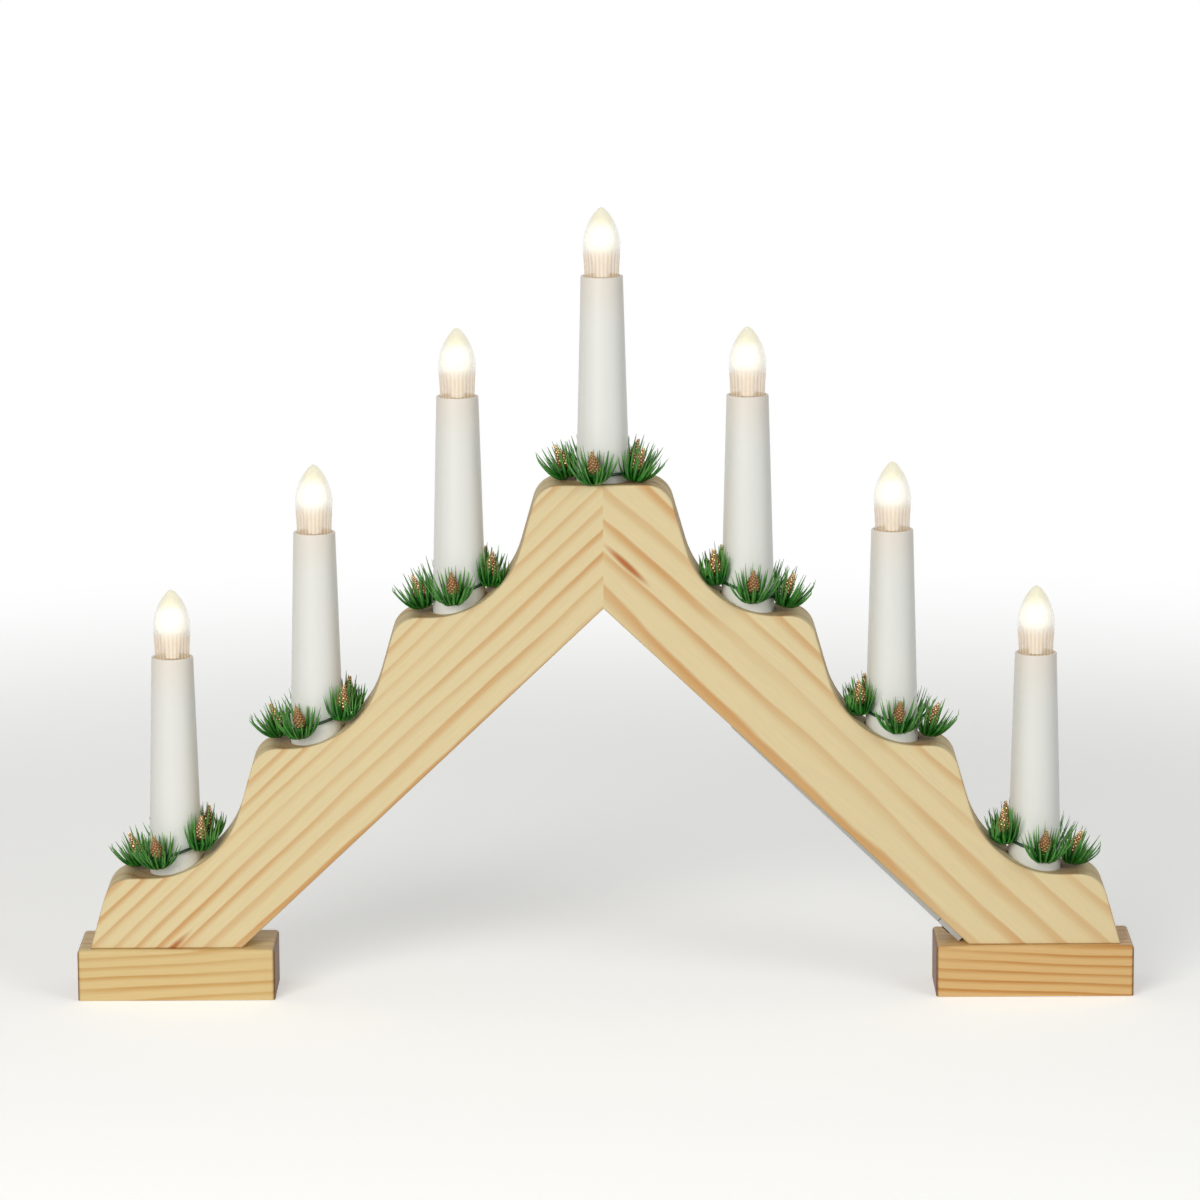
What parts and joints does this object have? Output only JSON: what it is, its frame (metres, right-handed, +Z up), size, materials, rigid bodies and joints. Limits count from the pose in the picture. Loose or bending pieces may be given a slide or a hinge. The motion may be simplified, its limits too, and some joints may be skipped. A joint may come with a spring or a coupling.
{
  "type": "candle arch",
  "caption": "Stepped wooden arch on foot blocks carrying electric candles with flame bulbs and small pine wreaths, with a battery box under one arm.",
  "frame": {"origin": "middle of the base, at the bottom of the bounding box", "axes": "+X along the arch to the right as seen from the front, +Z up, front faces -Y"},
  "size_m": [0.41, 0.0497, 0.3068],
  "materials": {
    "pine_arm": "clear satin varnish",
    "pine_foot": "clear gloss varnish",
    "dowel": "plain",
    "screw_steel": "zinc plated",
    "screw_white": "white",
    "candle_white": "moulded",
    "bulb_clear": "clear, ribbed foot",
    "cap_metal": "nickelled",
    "pine_green_dark": "moulded",
    "pine_green": "moulded",
    "cone_gold": "gilded",
    "holder_white": "moulded",
    "box_grey": "moulded",
    "lid_grey": "moulded",
    "cell_steel": "plain jacket",
    "contact_steel": "nickelled",
    "knob_black": "moulded",
    "wire_insulation": "plain"
  },
  "bodies": {
    "arch": {"left_arm": "pine_arm", "right_arm": "pine_arm", "left_foot": "pine_foot", "right_foot": "pine_foot", "apex_dowels": "dowel", "foot_screws": "screw_steel", "flange_screw": "screw_white", "lampholders": "holder_white", "battery_box": "box_grey", "battery_cells": "cell_steel", "battery_contacts": "contact_steel", "wiring": "wire_insulation", "candle_sleeve_1": "candle_white", "candle_sleeve_2": "candle_white", "candle_sleeve_3": "candle_white", "candle_sleeve_4": "candle_white", "candle_sleeve_5": "candle_white", "candle_sleeve_6": "candle_white", "candle_sleeve_7": "candle_white"},
    "lamp_base_1": {"lamp_base_1": "cap_metal"},
    "flame_bulb_1": {"flame_bulb_1": "bulb_clear"},
    "wreath_1": {"wreath_ring_1": "pine_green_dark", "pine_tufts_1": "pine_green", "gold_cones_1": "cone_gold"},
    "lamp_base_2": {"lamp_base_2": "cap_metal"},
    "flame_bulb_2": {"flame_bulb_2": "bulb_clear"},
    "wreath_2": {"wreath_ring_2": "pine_green_dark", "pine_tufts_2": "pine_green", "gold_cones_2": "cone_gold"},
    "lamp_base_3": {"lamp_base_3": "cap_metal"},
    "flame_bulb_3": {"flame_bulb_3": "bulb_clear"},
    "wreath_3": {"wreath_ring_3": "pine_green_dark", "pine_tufts_3": "pine_green", "gold_cones_3": "cone_gold"},
    "lamp_base_4": {"lamp_base_4": "cap_metal"},
    "flame_bulb_4": {"flame_bulb_4": "bulb_clear"},
    "wreath_4": {"wreath_ring_4": "pine_green_dark", "pine_tufts_4": "pine_green", "gold_cones_4": "cone_gold"},
    "lamp_base_5": {"lamp_base_5": "cap_metal"},
    "flame_bulb_5": {"flame_bulb_5": "bulb_clear"},
    "wreath_5": {"wreath_ring_5": "pine_green_dark", "pine_tufts_5": "pine_green", "gold_cones_5": "cone_gold"},
    "lamp_base_6": {"lamp_base_6": "cap_metal"},
    "flame_bulb_6": {"flame_bulb_6": "bulb_clear"},
    "wreath_6": {"wreath_ring_6": "pine_green_dark", "pine_tufts_6": "pine_green", "gold_cones_6": "cone_gold"},
    "lamp_base_7": {"lamp_base_7": "cap_metal"},
    "flame_bulb_7": {"flame_bulb_7": "bulb_clear"},
    "wreath_7": {"wreath_ring_7": "pine_green_dark", "pine_tufts_7": "pine_green", "gold_cones_7": "cone_gold"},
    "lid": {"battery_lid": "lid_grey"},
    "switch": {"switch_knob": "knob_black"}
  },
  "joints": [
    {"name": "lamp_rise_1", "type": "slide", "parent": "arch", "child": "lamp_base_1", "axis": [0, 0, 1], "range_m": [0, 0.0091]},
    {"name": "lamp_turn_1", "type": "hinge", "parent": "lamp_base_1", "child": "flame_bulb_1", "pos_m": [-0.1671, 0, 0.1329], "axis": [0, 0, 1], "range_deg": [0, 1800]},
    {"name": "wreath_lift_1", "type": "slide", "parent": "arch", "child": "wreath_1", "axis": [0, 0, 1], "range_m": [0, 0.115]},
    {"name": "lamp_rise_2", "type": "slide", "parent": "arch", "child": "lamp_base_2", "axis": [0, 0, 1], "range_m": [0, 0.0091]},
    {"name": "lamp_turn_2", "type": "hinge", "parent": "lamp_base_2", "child": "flame_bulb_2", "pos_m": [-0.1114, 0, 0.1816], "axis": [0, 0, 1], "range_deg": [0, 1800]},
    {"name": "wreath_lift_2", "type": "slide", "parent": "arch", "child": "wreath_2", "axis": [0, 0, 1], "range_m": [0, 0.115]},
    {"name": "lamp_rise_3", "type": "slide", "parent": "arch", "child": "lamp_base_3", "axis": [0, 0, 1], "range_m": [0, 0.0091]},
    {"name": "lamp_turn_3", "type": "hinge", "parent": "lamp_base_3", "child": "flame_bulb_3", "pos_m": [-0.0557, 0, 0.2343], "axis": [0, 0, 1], "range_deg": [0, 1800]},
    {"name": "wreath_lift_3", "type": "slide", "parent": "arch", "child": "wreath_3", "axis": [0, 0, 1], "range_m": [0, 0.115]},
    {"name": "lamp_rise_4", "type": "slide", "parent": "arch", "child": "lamp_base_4", "axis": [0, 0, 1], "range_m": [0, 0.0091]},
    {"name": "lamp_turn_4", "type": "hinge", "parent": "lamp_base_4", "child": "flame_bulb_4", "pos_m": [0, 0, 0.2805], "axis": [0, 0, 1], "range_deg": [0, 1800]},
    {"name": "wreath_lift_4", "type": "slide", "parent": "arch", "child": "wreath_4", "axis": [0, 0, 1], "range_m": [0, 0.115]},
    {"name": "lamp_rise_5", "type": "slide", "parent": "arch", "child": "lamp_base_5", "axis": [0, 0, 1], "range_m": [0, 0.0091]},
    {"name": "lamp_turn_5", "type": "hinge", "parent": "lamp_base_5", "child": "flame_bulb_5", "pos_m": [0.0557, 0, 0.2343], "axis": [0, 0, 1], "range_deg": [0, 1800]},
    {"name": "wreath_lift_5", "type": "slide", "parent": "arch", "child": "wreath_5", "axis": [0, 0, 1], "range_m": [0, 0.115]},
    {"name": "lamp_rise_6", "type": "slide", "parent": "arch", "child": "lamp_base_6", "axis": [0, 0, 1], "range_m": [0, 0.0091]},
    {"name": "lamp_turn_6", "type": "hinge", "parent": "lamp_base_6", "child": "flame_bulb_6", "pos_m": [0.1114, 0, 0.1816], "axis": [0, 0, 1], "range_deg": [0, 1800]},
    {"name": "wreath_lift_6", "type": "slide", "parent": "arch", "child": "wreath_6", "axis": [0, 0, 1], "range_m": [0, 0.115]},
    {"name": "lamp_rise_7", "type": "slide", "parent": "arch", "child": "lamp_base_7", "axis": [0, 0, 1], "range_m": [0, 0.0091]},
    {"name": "lamp_turn_7", "type": "hinge", "parent": "lamp_base_7", "child": "flame_bulb_7", "pos_m": [0.1671, 0, 0.1329], "axis": [0, 0, 1], "range_deg": [0, 1800]},
    {"name": "wreath_lift_7", "type": "slide", "parent": "arch", "child": "wreath_7", "axis": [0, 0, 1], "range_m": [0, 0.115]},
    {"name": "lid_swing", "type": "hinge", "parent": "arch", "child": "lid", "pos_m": [0.04962, 0, 0.10571], "axis": [0, 1, 0], "range_deg": [0, 95]},
    {"name": "switch_slide", "type": "slide", "parent": "arch", "child": "switch", "axis": [0, 1, 0], "range_m": [0, 0.0036]}
  ],
  "couplings": [
    {"joint": "lamp_rise_1", "follows": "lamp_turn_1", "m_per_rad": 0.00028807},
    {"joint": "lamp_rise_2", "follows": "lamp_turn_2", "m_per_rad": 0.00028807},
    {"joint": "lamp_rise_3", "follows": "lamp_turn_3", "m_per_rad": 0.00028807},
    {"joint": "lamp_rise_4", "follows": "lamp_turn_4", "m_per_rad": 0.00028807},
    {"joint": "lamp_rise_5", "follows": "lamp_turn_5", "m_per_rad": 0.00028807},
    {"joint": "lamp_rise_6", "follows": "lamp_turn_6", "m_per_rad": 0.00028807},
    {"joint": "lamp_rise_7", "follows": "lamp_turn_7", "m_per_rad": 0.00028807}
  ]
}
